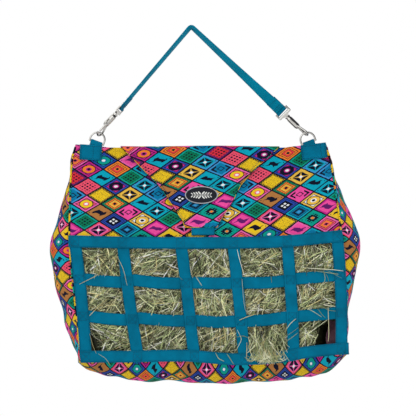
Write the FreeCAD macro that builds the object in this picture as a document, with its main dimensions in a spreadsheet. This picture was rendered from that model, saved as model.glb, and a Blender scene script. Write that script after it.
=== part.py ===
import FreeCAD, Part

import math
import os

# Slow-feed hay bag hung from a webbing strap.
# Frame: +X to the right of the bag, -Y to its front, +Z up.
# The origin is the hang point, under the top bend of the strap.
# Lengths are millimetres and angles are degrees.

V = FreeCAD.Vector
Rot = FreeCAD.Rotation
Place = FreeCAD.Placement
DOWN_TO_X = Rot(V(0, 0, 1), -90)
UP_TO_Z = Rot(V(1, 0, 0), 90)

doc = FreeCAD.newDocument("HayBag")
sheet = doc.addObject("Spreadsheet::Sheet", "Dims")
row_count = 0


def cell(name, value):
    """Add one driving dimension to the sheet and give it its alias."""
    global row_count
    row_count += 1
    sheet.set("A%d" % row_count, name)
    sheet.set("B%d" % row_count, str(value))
    sheet.setAlias("B%d" % row_count, name)


# --- Webbing and cloth ----------------------------------------------------
cell("web_width", 25.4)
cell("web_thick", 2.0)
cell("cloth_thick", 2.0)
cell("tape_thick", 1.4)

# --- Hanging ---------------------------------------------------------------
cell("hook_level", -222.0)
cell("left_hook_x", -194.0)
cell("right_hook_x", 243.0)
cell("ring_lean", 20.0)
cell("strap_top_bend", 6.0)

# --- Top band of the bag ---------------------------------------------------
cell("top_level", -252.0)
cell("band_level", -288.0)
cell("top_left_x", -246.0)
cell("top_right_x", 287.0)
cell("band_left_x", -254.0)
cell("band_right_x", 299.0)
cell("front_top_y", -1.0)
cell("back_top_y", 15.0)
cell("front_y", -86.0)
cell("back_y", 84.0)

# --- Net window --------------------------------------------------------------
cell("window_top_left_z", -455.0)
cell("window_top_right_z", -442.0)
cell("window_left_x", -258.0)
cell("window_right_x", 319.0)
cell("upper_left_z", -532.0)
cell("upper_right_z", -526.0)
cell("lower_left_z", -614.0)
cell("lower_right_z", -606.0)
cell("bottom_left_z", -697.5)
cell("bottom_right_z", -680.0)
cell("foot_left_x", -233.0)
cell("foot_right_x", 330.0)
UPRIGHTS = (
    ("first", -246.0, -221.0),
    ("second", -142.5, -115.0),
    ("third", -18.0, 4.0),
    ("fourth", 92.0, 111.0),
    ("fifth", 205.0, 216.0),
    ("sixth", 309.0, 317.0),
)
for name, top_x, foot_x in UPRIGHTS:
    cell(name + "_top_x", top_x)
    cell(name + "_foot_x", foot_x)

# --- Closure flap ------------------------------------------------------------
cell("flap_gap", 3.3)
cell("flap_slope", 0.525)
cell("flap_top_left_x", -148.0)
cell("flap_top_right_x", 187.0)
cell("flap_band_left_x", -113.0)
cell("flap_band_right_x", 150.0)
cell("flap_waist_level", -345.0)
cell("flap_waist_left_x", -58.0)
cell("flap_waist_right_x", 97.0)
cell("flap_tip_level", -422.0)
cell("flap_tip_left_x", -15.0)
cell("flap_tip_right_x", 57.0)
cell("badge_x", 22.0)
cell("badge_level", -355.0)
cell("badge_half_width", 35.0)
cell("badge_half_height", 21.0)

# --- D-rings and tabs ----------------------------------------------------------
cell("ring_wire", 1.9)
cell("ring_half_width", 15.5)
cell("ring_rise", 22.0)
cell("loop_length", 24.0)
cell("loop_gap", 0.5)
cell("patch_height", 31.0)
cell("patch_width", 46.0)

# --- Bolt snaps ------------------------------------------------------------------
cell("hook_radius", 9.0)
cell("hook_wire", 2.2)
cell("hook_drop", 6.3)
cell("barrel_offset", -6.0)
cell("barrel_radius", 6.2)
cell("barrel_start", 18.0)
cell("barrel_end", 52.0)
cell("bolt_radius", 2.3)
cell("bolt_bore", 2.7)
cell("bolt_travel", 8.0)
cell("eye_bar", 68.0)
cell("eye_half_width", 14.4)
cell("left_roll", 60.0)
cell("right_roll", 72.0)
cell("left_eye_roll", 70.0)
cell("right_eye_roll", 8.0)
doc.recompute()


def dim(name):
    """Read one driving dimension from the sheet."""
    return float(sheet.get(name))


# --- Builders ---------------------------------------------------------------------
parts = []


def keep(obj, label):
    """Give a finished sub-part its label and list it for export."""
    obj.Label = label
    parts.append(obj)
    return obj


def bind(obj, **exprs):
    """Tie properties of an object to expressions over the sheet."""
    for prop, expr in exprs.items():
        obj.setExpression(prop, expr.replace("$", "Dims."))
    return obj


def box(name, length, width, height, at):
    obj = doc.addObject("Part::Box", name)
    bind(obj, Length=length, Width=width, Height=height)
    obj.Placement.Base = V(*at)
    return obj


def cylinder(name, radius, height, at=(0, 0, 0), turn=Rot()):
    obj = doc.addObject("Part::Cylinder", name)
    bind(obj, Radius=radius, Height=height)
    obj.Placement = Place(V(*at), turn)
    return obj


def rod(name, radius, start, end):
    """A round rod between two points of the local frame."""
    start, end = V(*start), V(*end)
    obj = doc.addObject("Part::Cylinder", name)
    bind(obj, Radius=radius)
    obj.Height = (end - start).Length
    obj.Placement = Place(start, Rot(V(0, 0, 1), end - start))
    return obj


def wedge(name, low, high, turn):
    """A tapered bar from its low end to its high end along local Y.

    Each end is (local Y, X from, X to, Z from, Z to) as sheet expressions.
    """
    obj = doc.addObject("Part::Wedge", name)
    bind(obj, Ymin=low[0], Xmin=low[1], Xmax=low[2], Zmin=low[3], Zmax=low[4])
    bind(obj, Ymax=high[0], X2min=high[1], X2max=high[2], Z2min=high[3], Z2max=high[4])
    obj.Placement = Place(V(), turn)
    return obj


def cone(name, near, far, height, at):
    """A straight taper along Z from one radius to the other."""
    obj = doc.addObject("Part::Cone", name)
    bind(obj, Radius1=near, Radius2=far, Height=height)
    obj.Placement = Place(V(*at), Rot())
    return obj


def fuse(name, shapes):
    obj = doc.addObject("Part::MultiFuse", name)
    obj.Shapes = shapes
    return obj


def cut(name, base, tool):
    obj = doc.addObject("Part::Cut", name)
    obj.Base = base
    obj.Tool = tool
    return obj


def skin(label, sections):
    """A sewn cloth skin lofted straight from section to section."""
    wires = [Part.makePolygon([V(*p) for p in sec] + [V(*sec[0])]) for sec in sections]
    obj = doc.addObject("Part::Feature", label)
    obj.Shape = Part.makeLoft(wires, True, True)
    return keep(obj, label)


# --- Front and back panels -----------------------------------------------------------
thick = dim("cloth_thick")


def level_line(left, right, y_outer, toward):
    """A panel's cross section along one level line, outer face at y_outer."""
    y_inner = y_outer + toward * thick
    return [
        (left[0], y_outer, left[1]),
        (right[0], y_outer, right[1]),
        (right[0], y_inner, right[1]),
        (left[0], y_inner, left[1]),
    ]


top_left = (dim("top_left_x"), dim("top_level"))
top_right = (dim("top_right_x"), dim("top_level"))
band_left = (dim("band_left_x"), dim("band_level"))
band_right = (dim("band_right_x"), dim("band_level"))
win_left = (dim("window_left_x"), dim("window_top_left_z"))
win_right = (dim("window_right_x"), dim("window_top_right_z"))
foot_left = (dim("foot_left_x"), dim("bottom_left_z") - 6)
foot_right = (dim("foot_right_x"), dim("bottom_right_z") - 6)


def lifted(corner):
    """A foot corner raised clear of the gusset's rounded corner."""
    return (corner[0], corner[1] + 2)


skin("front_panel", [
    level_line(top_left, top_right, dim("front_top_y"), 1),
    level_line(band_left, band_right, dim("front_top_y"), 1),
    level_line(win_left, win_right, dim("front_y") + thick, 1),
])
skin("back_panel", [
    level_line(top_left, top_right, dim("back_top_y"), -1),
    level_line(band_left, band_right, dim("back_top_y"), -1),
    level_line(win_left, win_right, dim("back_y"), -1),
    level_line(lifted(foot_left), lifted(foot_right), dim("back_y"), -1),
])

# --- Gusset -------------------------------------------------------------------------
# The seam follows the panels' side edges. A station is (height, direction the
# gusset bulges in the XZ plane, bulge); under the bag it is (x, direction, bulge).
LEFT_EDGE = (top_left, band_left, win_left, foot_left)
RIGHT_EDGE = (top_right, band_right, win_right, foot_right)
LEFT_STATIONS = (
    (-252, 180, 1), (-288, 180, 2), (-345, 180, 6), (-445, 180, 35),
    (-482, 180, 41), (-600, 180, 27), (-688, 190, 8),
)
BOTTOM_STATIONS = (
    (-222, 235, 13), (-150, 270, 38), (23, 270, 55), (210, 270, 52), (295, 270, 32),
)
RIGHT_STATIONS = (
    (-670, 350, 2), (-620, 0, 2), (-540, 0, 17), (-480, 0, 35),
    (-440, 0, 33), (-375, 0, 13), (-288, 0, 2), (-252, 0, 1),
)


def between(a, b, share):
    return a + (b - a) * share


def edge_x(edge, z):
    """The x of a panel's side edge at a height."""
    for (x0, z0), (x1, z1) in zip(edge, edge[1:]):
        if z >= z1:
            break
    return between(x0, x1, (z - z0) / (z1 - z0))


def foot_z(x):
    """Height of the panels' lower edge at an x."""
    share = (x - foot_left[0]) / (foot_right[0] - foot_left[0])
    return between(foot_left[1], foot_right[1], share)


def seam_y(z):
    """Outer faces of the front and back panels at a height."""
    share = (dim("band_level") - z) / (dim("band_level") - dim("window_top_left_z"))
    share = min(max(share, 0.0), 1.0)
    front = dim("front_top_y") + share * (dim("front_y") - dim("front_top_y"))
    back = dim("back_top_y") + share * (dim("back_y") - dim("back_top_y"))
    return front, back


def gusset_section(x, z, direction, bulge):
    out = V(math.cos(math.radians(direction)), 0, math.sin(math.radians(direction)))
    front, back = seam_y(z)
    deep = back - front
    outer = []
    for share, swell in ((0, 0), (0.22, 0.8), (0.5, 1.0), (0.78, 0.8), (1, 0)):
        outer.append(V(x, front + share * deep, z) + out * (swell * bulge + thick))
    inner = [p - out * thick for p in reversed(outer)]
    return [tuple(p) for p in outer + inner]


left_side = [gusset_section(edge_x(LEFT_EDGE, z), z, way, swell)
             for z, way, swell in LEFT_STATIONS]
under = [gusset_section(x, foot_z(x), way, swell) for x, way, swell in BOTTOM_STATIONS]
right_side = [gusset_section(edge_x(RIGHT_EDGE, z), z, way, swell)
              for z, way, swell in RIGHT_STATIONS]
left_corner = gusset_section(foot_left[0] - 0.5, foot_left[1] - 0.5, 215, 9)
right_corner = gusset_section(foot_right[0] + 0.5, foot_right[1] - 0.5, 320, 7)
skin("gusset_left", left_side)
skin("gusset_bottom",
     [left_side[-1], left_corner] + under + [right_corner, right_side[0]])
skin("gusset_right", right_side)

# --- Net window webbing ---------------------------------------------------------------
half = "$web_width / 2"


def rail(label, left, right, y_front, low_x, high_x):
    """A level strip of webbing between two side heights."""
    near, far = "-(%s)" % y_front, "-(%s) - $web_thick" % y_front
    low = (low_x, far, near, "%s - %s" % (left, half), "%s + %s" % (left, half))
    high = (high_x, far, near, "%s - %s" % (right, half), "%s + %s" % (right, half))
    return keep(wedge(label, low, high, DOWN_TO_X), label)


rail("window_rail_top", "$window_top_left_z", "$window_top_right_z",
     "$front_y - $web_thick * 2", "$window_left_x - 1", "$window_right_x + 1")
rail("window_rail_upper", "$upper_left_z", "$upper_right_z", "$front_y",
     "$window_left_x + 10", "$window_right_x + 1")
rail("window_rail_lower", "$lower_left_z", "$lower_right_z", "$front_y",
     "$foot_left_x - 6", "$foot_right_x - 4")
rail("window_rail_bottom", "$bottom_left_z", "$bottom_right_z",
     "$front_y - $web_thick * 2", "$foot_left_x - 1", "$foot_right_x + 4")

for number, (name, top_x, foot_x) in enumerate(UPRIGHTS, start=1):
    share = (number - 1) / 5.0
    foot_z = "$bottom_left_z + ($bottom_right_z - $bottom_left_z) * %g - 8" % share
    top_z = "$window_top_left_z + ($window_top_right_z - $window_top_left_z) * %g + 8" % share
    near, far = "-($front_y)", "-($front_y) + $web_thick"
    low = (foot_z, "$%s_foot_x - %s" % (name, half), "$%s_foot_x + %s" % (name, half),
           near, far)
    high = (top_z, "$%s_top_x - %s" % (name, half), "$%s_top_x + %s" % (name, half),
            near, far)
    label = "window_upright_%d" % number
    keep(wedge(label, low, high, UP_TO_Z), label)

# --- Hems inside the mouth ------------------------------------------------------------------
def strip(label, left, right, top, height, y_outer, y_inner):
    """A flat strip standing in the XZ plane."""
    obj = doc.addObject("Part::Box", label)
    bind(obj, Length="%s - (%s)" % (right, left), Width="%s - (%s)" % (y_inner, y_outer),
         Height=height)
    bind(obj, **{
        "Placement.Base.x": left,
        "Placement.Base.y": y_outer,
        "Placement.Base.z": "%s - %s" % (top, height),
    })
    return obj


keep(strip("front_hem", "$top_left_x + 6", "$top_right_x - 6", "$top_level", "20",
           "$front_top_y + $cloth_thick", "$front_top_y + $cloth_thick + $tape_thick"),
     "front_hem")
keep(strip("back_hem", "$top_left_x + 6", "$top_right_x - 6", "$top_level", "20",
           "$back_top_y - $cloth_thick - $tape_thick", "$back_top_y - $cloth_thick"),
     "back_hem")

# --- Closure flap -----------------------------------------------------------------------------
flap_in = "$front_top_y - $flap_gap"
drop = "($band_level - %s) * $flap_slope"


def flap_level(level, left, right):
    """One level line of the flap, as local wedge values (local Z is -Y)."""
    near = "-(%s - %s)" % (flap_in, drop % level) if level != "$top_level" else "-(%s)" % flap_in
    return (level, left, right, near, near + " + $cloth_thick")


def flap_piece(name, low, high):
    return wedge(name, low, high, UP_TO_Z)


tip = flap_level("$flap_tip_level", "$flap_tip_left_x", "$flap_tip_right_x")
waist = flap_level("$flap_waist_level", "$flap_waist_left_x", "$flap_waist_right_x")
band = flap_level("$band_level", "$flap_band_left_x", "$flap_band_right_x")
mouth = flap_level("$top_level", "$flap_top_left_x", "$flap_top_right_x")
mouth = ("$top_level + 3",) + mouth[1:]
lid = box("flap_lid", "$flap_top_right_x - $flap_top_left_x",
          "$back_top_y - (%s) + 2" % flap_in, "$cloth_thick", (0, 0, 0))
bind(lid, **{
    "Placement.Base.x": "$flap_top_left_x",
    "Placement.Base.y": "%s - $cloth_thick" % flap_in,
    "Placement.Base.z": "$top_level + 1",
})
keep(fuse("closure_flap", [
    lid, flap_piece("flap_band", band, mouth), flap_piece("flap_upper", waist, band),
    flap_piece("flap_lower", tip, waist)]), "closure_flap")


def slope_plate(label, low_level, high_level, left, right, base, thickness, slope):
    """A plate lying on a sloped face that starts at the band level."""
    ends = []
    for level in (low_level, high_level):
        near = "-(%s - ($band_level - (%s)) * %s)" % (base, level, slope)
        ends.append((level, left, right, near, "%s + %s" % (near, thickness)))
    return wedge(label, ends[0], ends[1], UP_TO_Z)


panel_slope = "($front_top_y - $front_y - 2) / ($band_level - ($window_top_left_z + 5.5))"
keep(slope_plate("panel_loop_tape", "-414", "-374", "-8", "50", "$front_top_y - 0.8",
                 "1.2", panel_slope), "panel_loop_tape")
keep(slope_plate("flap_hook_tape", "-414", "-374", "-4", "46", "%s + 1.2" % flap_in,
                 "1.2", "$flap_slope"), "flap_hook_tape")
keep(slope_plate("flap_pull_tab", "$flap_tip_level - 17", "$flap_tip_level", "1", "50",
                 flap_in, "$web_thick", "$flap_slope"), "flap_pull_tab")

# Oval badge on the flap: a plate in a raised rim.
slope_turn = Rot(V(1, 0, 0), 90 - math.degrees(math.atan(dim("flap_slope"))))
badge_drop = dim("badge_level") - dim("band_level")
badge_y = (dim("front_top_y") - dim("flap_gap") - dim("cloth_thick")
           + badge_drop * dim("flap_slope"))
badge_at = V(dim("badge_x"), badge_y, dim("badge_level"))


def oval(name, grow, height):
    """An upright elliptic cylinder for the badge."""
    obj = doc.addObject("Part::Ellipse", name + "_edge")
    bind(obj, MajorRadius="$badge_half_width + %g" % grow,
         MinorRadius="$badge_half_height + %g" % grow)
    solid = doc.addObject("Part::Extrusion", name)
    solid.Base = obj
    solid.Dir = V(0, 0, height)
    solid.Solid = True
    return solid


plate = keep(oval("badge_plate", -2, 1.0), "badge_plate")
rim = keep(cut("badge_rim", oval("badge_rim_outer", 0, 1.6), oval("badge_rim_inner", -2, 2.6)),
           "badge_rim")
for obj in (plate, rim):
    obj.Placement = Place(badge_at, slope_turn)

# --- D-rings, loops and patches -------------------------------------------------------------------
SIDES = (("left", 1, "left_hook_x"), ("right", -1, "right_hook_x"))


def ring_frame(sign, hook_x):
    """Placement of a ring: local origin on its bar, local Z to the hook."""
    turn = Rot(V(0, 1, 0), sign * dim("ring_lean"))
    hook = V(dim(hook_x), 0, dim("hook_level"))
    return Place(hook - turn.multVec(V(0, 0, dim("ring_rise"))), turn)


for side, sign, hook_x in SIDES:
    frame = ring_frame(sign, hook_x)
    reach = dim("ring_half_width")
    rise = dim("ring_rise") - reach
    arc = doc.addObject("Part::Torus", "ring_arc_" + side)
    bind(arc, Radius1="$ring_half_width", Radius2="$ring_wire")
    arc.Angle3 = 180
    arc.Placement = Place(V(0, 0, rise), Rot(V(1, 0, 0), 90))
    bar = rod("ring_bar_" + side, "$ring_wire", (-reach, 0, 0), (reach, 0, 0))
    legs = [rod("ring_leg_%s_%d" % (side, n), "$ring_wire", (x, 0, -1.2), (x, 0, rise))
            for n, x in enumerate((-reach, reach))]
    ring = keep(fuse("ring_" + side, [arc, bar] + legs), "ring_" + side)
    ring.Placement = frame

    gap = "$ring_wire + $loop_gap"
    wall = "(%s + $tape_thick)" % gap
    outer = cylinder("loop_outer_" + side, wall, "$web_width",
                     (-dim("web_width") / 2, 0, 0), Rot(V(0, 1, 0), 90))
    thickness = dim("ring_wire") + dim("loop_gap") + dim("tape_thick")
    body = box("loop_body_" + side, "$web_width", "2 * %s" % wall, "$loop_length",
               (-dim("web_width") / 2, -thickness, -dim("loop_length")))
    inner = cylinder("loop_inner_" + side, gap, "$web_width + 10",
                     (-dim("web_width") / 2 - 5, 0, 0), Rot(V(0, 1, 0), 90))
    slot = box("loop_slot_" + side, "$web_width + 10", "2 * (%s)" % gap, "$loop_length + 10",
               (-dim("web_width") / 2 - 5, -thickness + dim("tape_thick"),
                -dim("loop_length") - 10))
    loop = cut("tab_loop_" + side, fuse("loop_solid_" + side, [outer, body]),
               fuse("loop_void_" + side, [inner, slot]))
    keep(loop, "tab_loop_" + side)
    loop.Placement = frame

keep(strip("tab_patch_left", "-235", "-235 + $patch_width", "$top_level - 1",
           "$patch_height", "$front_top_y - $tape_thick", "$front_top_y"), "tab_patch_left")
keep(strip("tab_patch_right", "286 - $patch_width - 8", "286", "$top_level - 1",
           "$patch_height", "$front_top_y - $tape_thick", "$front_top_y"), "tab_patch_right")

# --- Bolt snaps ------------------------------------------------------------------------------------
# Local frame: origin where the hook holds the ring, Z towards the strap.
hook_z = dim("hook_radius") - dim("hook_drop")
axis_x = dim("barrel_offset")
tip_angle = 180 + math.degrees(math.asin(0.38))
tip_level = hook_z - dim("hook_radius") * 0.38 + dim("hook_wire") + 0.5
tilt = math.degrees(math.atan2(-axis_x, dim("eye_bar")))


def snap_frame(sign, hook_x, roll):
    hook = V(dim(hook_x), 0, dim("hook_level"))
    lean = math.degrees(math.atan2(-hook.x, -hook.z))
    turn = Rot(V(0, 1, 0), lean) * Rot(V(0, 0, 1), sign * dim(roll)) * Rot(V(0, 1, 0), tilt)
    return Place(hook, turn)


def snap(side, sign, hook_x):
    frame = snap_frame(sign, hook_x, side + "_roll")
    name = "snap_%s_" % side
    arc = doc.addObject("Part::Torus", name + "arc")
    bind(arc, Radius1="$hook_radius", Radius2="$hook_wire")
    arc.Angle3 = 360 - tip_angle
    arc.Placement = Place(V(0, 0, hook_z), Rot(V(1, 0, 0), 90) * Rot(V(0, 0, 1), tip_angle))
    shank = rod(name + "shank", "$hook_wire", (dim("hook_radius"), 0, hook_z),
                (axis_x + 4.2, 0, dim("barrel_start") + 4))
    joint = doc.addObject("Part::Sphere", name + "knuckle")
    bind(joint, Radius="$hook_wire")
    joint.Placement.Base = V(dim("hook_radius"), 0, hook_z)
    start, end = dim("barrel_start"), dim("barrel_end")
    barrel = cylinder(name + "barrel", "$barrel_radius", "$barrel_end - $barrel_start - 12",
                      (axis_x, 0, start + 4))
    nose = cone(name + "nose", "$barrel_radius - 2", "$barrel_radius", "4.01",
                (axis_x, 0, start))
    waist = cone(name + "waist", "$barrel_radius", "$barrel_radius - 1.7", "5",
                 (axis_x, 0, end - 8.01))
    collar = cylinder(name + "collar", "$barrel_radius - 0.4", "3.2", (axis_x, 0, end - 3.2))
    solid = fuse(name + "solid", [arc, joint, shank, barrel, nose, waist, collar])
    bore = cylinder(name + "bore", "$bolt_bore", "26", (axis_x, 0, start - 0.01))
    mouth_clear = cylinder(name + "clear", "$bolt_bore", "12", (axis_x, 0, start - 11))
    knob_slot = box(name + "slot", "12", "3.2", "12", (axis_x - 12, -1.6, start + 4.6))
    cavity = cylinder(name + "cavity", "3.8", "4", (axis_x, 0, end - 6))
    neck = cylinder(name + "neck", "2.3", "8", (axis_x, 0, end - 4))
    void = fuse(name + "void", [bore, mouth_clear, knob_slot, cavity, neck])
    hook = keep(cut(name + "hook", solid, void), name + "hook")
    hook.Placement = frame

    stem = cylinder(name + "bolt_rod", "$bolt_radius", "%g" % (29 - tip_level),
                    (axis_x, 0, tip_level))
    tail = cylinder(name + "bolt_tail", "1.2", "7", (axis_x, 0, 28.5))
    knob = rod(name + "knob", "1.3", (axis_x, 0, 24.5), (axis_x - 8.6, 0, 24.5))
    button = rod(name + "button", "2.6", (axis_x - 7.2, 0, 24.5), (axis_x - 9.4, 0, 24.5))
    bolt = keep(fuse(name + "bolt", [stem, tail, knob, button]), name + "bolt")
    bolt.Placement = frame

    coil = cut(name + "spring", cylinder(name + "coil", "2.5", "6", (axis_x, 0, 37.7)),
               cylinder(name + "coil_hole", "1.6", "8", (axis_x, 0, 36.7)))
    keep(coil, name + "spring")
    coil.Placement = frame

    roll_gap = sign * (dim(side + "_eye_roll") - dim(side + "_roll"))
    about_axis = Place(V(axis_x, 0, 0), Rot(V(0, 0, 1), roll_gap))
    reach, bar_z = dim("eye_half_width"), dim("eye_bar")
    low_z = end + 6
    head = cylinder(name + "head", "3.4", "2.8", (0, 0, end - 5.4))
    post = cylinder(name + "post", "1.9", "%g" % (low_z - end + 4), (0, 0, end - 4))
    shoulder = wedge(name + "shoulder",
                     ("$barrel_end + 1", "-4", "4", "-2.1", "2.1"),
                     ("$barrel_end + 6", "-$eye_half_width", "$eye_half_width", "-2.3", "2.3"),
                     Rot(V(1, 0, 0), 90))
    bars = [
        shoulder,
        rod(name + "eye_thick", "2.3", (-reach, 0, low_z + 1.7), (reach, 0, low_z + 1.7)),
        rod(name + "eye_low", "2.6", (-reach - 1, 0, low_z), (reach + 1, 0, low_z)),
        rod(name + "eye_high", "1.6", (-reach - 1, 0, bar_z), (reach + 1, 0, bar_z)),
        rod(name + "eye_side_a", "1.9", (-reach, 0, low_z - 1), (-reach, 0, bar_z + 2.4)),
        rod(name + "eye_side_b", "1.9", (reach, 0, low_z - 1), (reach, 0, bar_z + 2.4)),
    ]
    eye = keep(fuse(name + "eye", [head, post] + bars), name + "eye")
    eye.Placement = frame * about_axis
    return frame * about_axis


left_eye = snap("left", 1, "left_hook_x")
right_eye = snap("right", -1, "right_hook_x")

# --- Hanging strap ------------------------------------------------------------------------------------
# A flat ribbon from eye to eye over the hang point, turning slowly on the way,
# with a sewn loop round the far bar of each snap eye.
strap_half = dim("web_width") / 2 - 1.2
strap_thick = dim("web_thick")
bar_gap = 1.8 + 0.5
apex_z = strap_thick / 2


def ribbon(points):
    """Lofted ribbon through (centre, width direction, thickness direction)."""
    wires = []
    for centre, wide, deep in points:
        a, b = wide * strap_half, deep * (strap_thick / 2)
        ring = [centre - a - b, centre + a - b, centre + a + b, centre - a + b]
        wires.append(Part.makePolygon(ring + [ring[0]]))
    return Part.makeLoft(wires, True, True)


def strap_side(eye, sign):
    """One fall of the strap and its loop, from the eye up to the hang point."""
    along = eye.Rotation.multVec(V(0, 0, 1))
    wide = eye.Rotation.multVec(V(1, 0, 0))
    bar = eye.multVec(V(0, 0, dim("eye_bar")))
    start = bar + along * (bar_gap + strap_thick / 2)
    top = V(0, 0, apex_z)
    run = top - start
    line = run.normalize()
    steps = 7
    points = []
    for n in range(steps):
        share = n / float(steps)
        centre = start + (top - start) * share
        blend = min(share / 0.86, 1.0)
        mix = wide * (1 - blend) + V(0, sign, 0) * blend
        flat = (mix - line * mix.dot(line)).normalize()
        points.append((centre, flat, line.cross(flat).normalize()))
    return points, bar, wide, along


def sewn_loop(bar, wide, along):
    """Closed sleeve of webbing round an eye bar."""
    base = bar - wide * strap_half
    outer = Part.makeCylinder(bar_gap + strap_thick, 2 * strap_half, base, wide)
    hole = Part.makeCylinder(bar_gap, 2 * strap_half + 4, base - wide * 2, wide)
    return outer.cut(hole)


left_points, left_bar, left_wide, left_along = strap_side(left_eye, 1)
right_points, right_bar, right_wide, right_along = strap_side(right_eye, -1)
bend = [
    (V(-3.2, 0, apex_z - 2.4), V(0, 1, 0), V(-0.62, 0, 0.78)),
    (V(0, 0, apex_z), V(0, 1, 0), V(0, 0, 1)),
    (V(3.2, 0, apex_z - 2.2), V(0, 1, 0), V(0.6, 0, 0.8)),
]


def facing_up(points):
    """Same order of corners on every section: thickness up, width to +Y."""
    turned = []
    for centre, wide, deep in points:
        if deep.z < 0:
            deep = deep * -1
        if wide.y < 0:
            wide = wide * -1
        turned.append((centre, wide, deep))
    return turned


route = facing_up(left_points) + bend + facing_up(list(reversed(right_points)))
strap = ribbon(route)
strap = strap.fuse(sewn_loop(left_bar, left_wide, left_along))
strap = strap.fuse(sewn_loop(right_bar, right_wide, right_along))
strap_obj = doc.addObject("Part::Feature", "hanging_strap")
strap_obj.Shape = strap.removeSplitter()
keep(strap_obj, "hanging_strap")

# --- Check and export -------------------------------------------------------------------------------------
doc.recompute()
for obj in doc.Objects:
    if "Invalid" in obj.State or "Error" in obj.State:
        raise RuntimeError("%s failed: %s" % (obj.Label, obj.State))
os.makedirs("parts", exist_ok=True)
for obj in parts:
    shape = obj.Shape
    if shape.isNull() or not shape.isValid() or not shape.Solids:
        raise RuntimeError("%s has no valid solid" % obj.Label)
    shape.exportStep("parts/%s.step" % obj.Label)
    print("%-22s %10.1f mm3  solids %d" % (obj.Label, shape.Volume, len(shape.Solids)))
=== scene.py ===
import math

import bpy
import numpy as np
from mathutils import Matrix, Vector


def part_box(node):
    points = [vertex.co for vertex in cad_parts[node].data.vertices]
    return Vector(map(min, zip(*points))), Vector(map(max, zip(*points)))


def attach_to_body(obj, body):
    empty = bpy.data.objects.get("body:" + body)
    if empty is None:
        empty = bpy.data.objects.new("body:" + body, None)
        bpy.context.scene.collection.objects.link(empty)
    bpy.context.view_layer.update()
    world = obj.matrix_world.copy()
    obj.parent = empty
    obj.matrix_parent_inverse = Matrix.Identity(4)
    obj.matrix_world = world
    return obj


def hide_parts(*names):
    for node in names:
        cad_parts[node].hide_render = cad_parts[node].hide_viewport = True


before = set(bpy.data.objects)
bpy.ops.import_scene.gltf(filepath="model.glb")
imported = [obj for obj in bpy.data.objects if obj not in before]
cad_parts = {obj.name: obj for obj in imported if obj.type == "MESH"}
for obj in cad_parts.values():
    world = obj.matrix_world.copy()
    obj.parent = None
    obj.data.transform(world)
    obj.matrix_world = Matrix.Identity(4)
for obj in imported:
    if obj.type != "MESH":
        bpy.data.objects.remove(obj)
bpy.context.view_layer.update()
MM = 0.001
WEB_W = 25.4 * MM
AHEAD = np.array((0.0, -1.0, 0.0))
BACK = -AHEAD
scene = bpy.context.scene
scene.view_settings.view_transform = "Standard"

# ---- camera
SENSOR = 36
CAMERA_FAR = 14.0  # metres in front of the hanging point
VIEW_PLANE = 0.055  # how far in front of that point the view is VIEW_WIDTH wide
VIEW_WIDTH = 0.882
camera = bpy.data.objects.new("camera", bpy.data.cameras.new("camera"))
scene.collection.objects.link(camera)
camera.location = (0.036, -CAMERA_FAR, -0.382)
camera.rotation_euler = (math.radians(90), 0, 0)
camera.data.sensor_width = SENSOR
camera.data.lens = SENSOR * (CAMERA_FAR - VIEW_PLANE) / VIEW_WIDTH
camera.data.clip_end = 60
scene.camera = camera

# ---- shader helper


class Sock:
    """A shader socket that Python arithmetic turns into Math nodes."""

    def __init__(self, tree, out):
        self.tree = tree
        self.out = out

    def math(self, op, *args):
        node = self.tree.nodes.new("ShaderNodeMath")
        node.operation = op
        for i, arg in enumerate((self,) + args):
            if isinstance(arg, Sock):
                self.tree.links.new(arg.out, node.inputs[i])
            else:
                node.inputs[i].default_value = float(arg)
        return Sock(self.tree, node.outputs[0])


def math_method(op):
    """A Sock method that adds one Math node."""
    def method(self, *args):
        return self.math(op, *args)
    return method


for word, op in (("__add__", "ADD"), ("__sub__", "SUBTRACT"), ("__mul__", "MULTIPLY"),
                 ("__truediv__", "DIVIDE"), ("__lt__", "LESS_THAN"),
                 ("__gt__", "GREATER_THAN"), ("abs", "ABSOLUTE"), ("floor", "FLOOR"),
                 ("frac", "FRACT"), ("sin", "SINE"), ("mod", "FLOORED_MODULO"),
                 ("max", "MAXIMUM"), ("min", "MINIMUM"), ("sqrt", "SQRT")):
    setattr(Sock, word, math_method(op))


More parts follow.
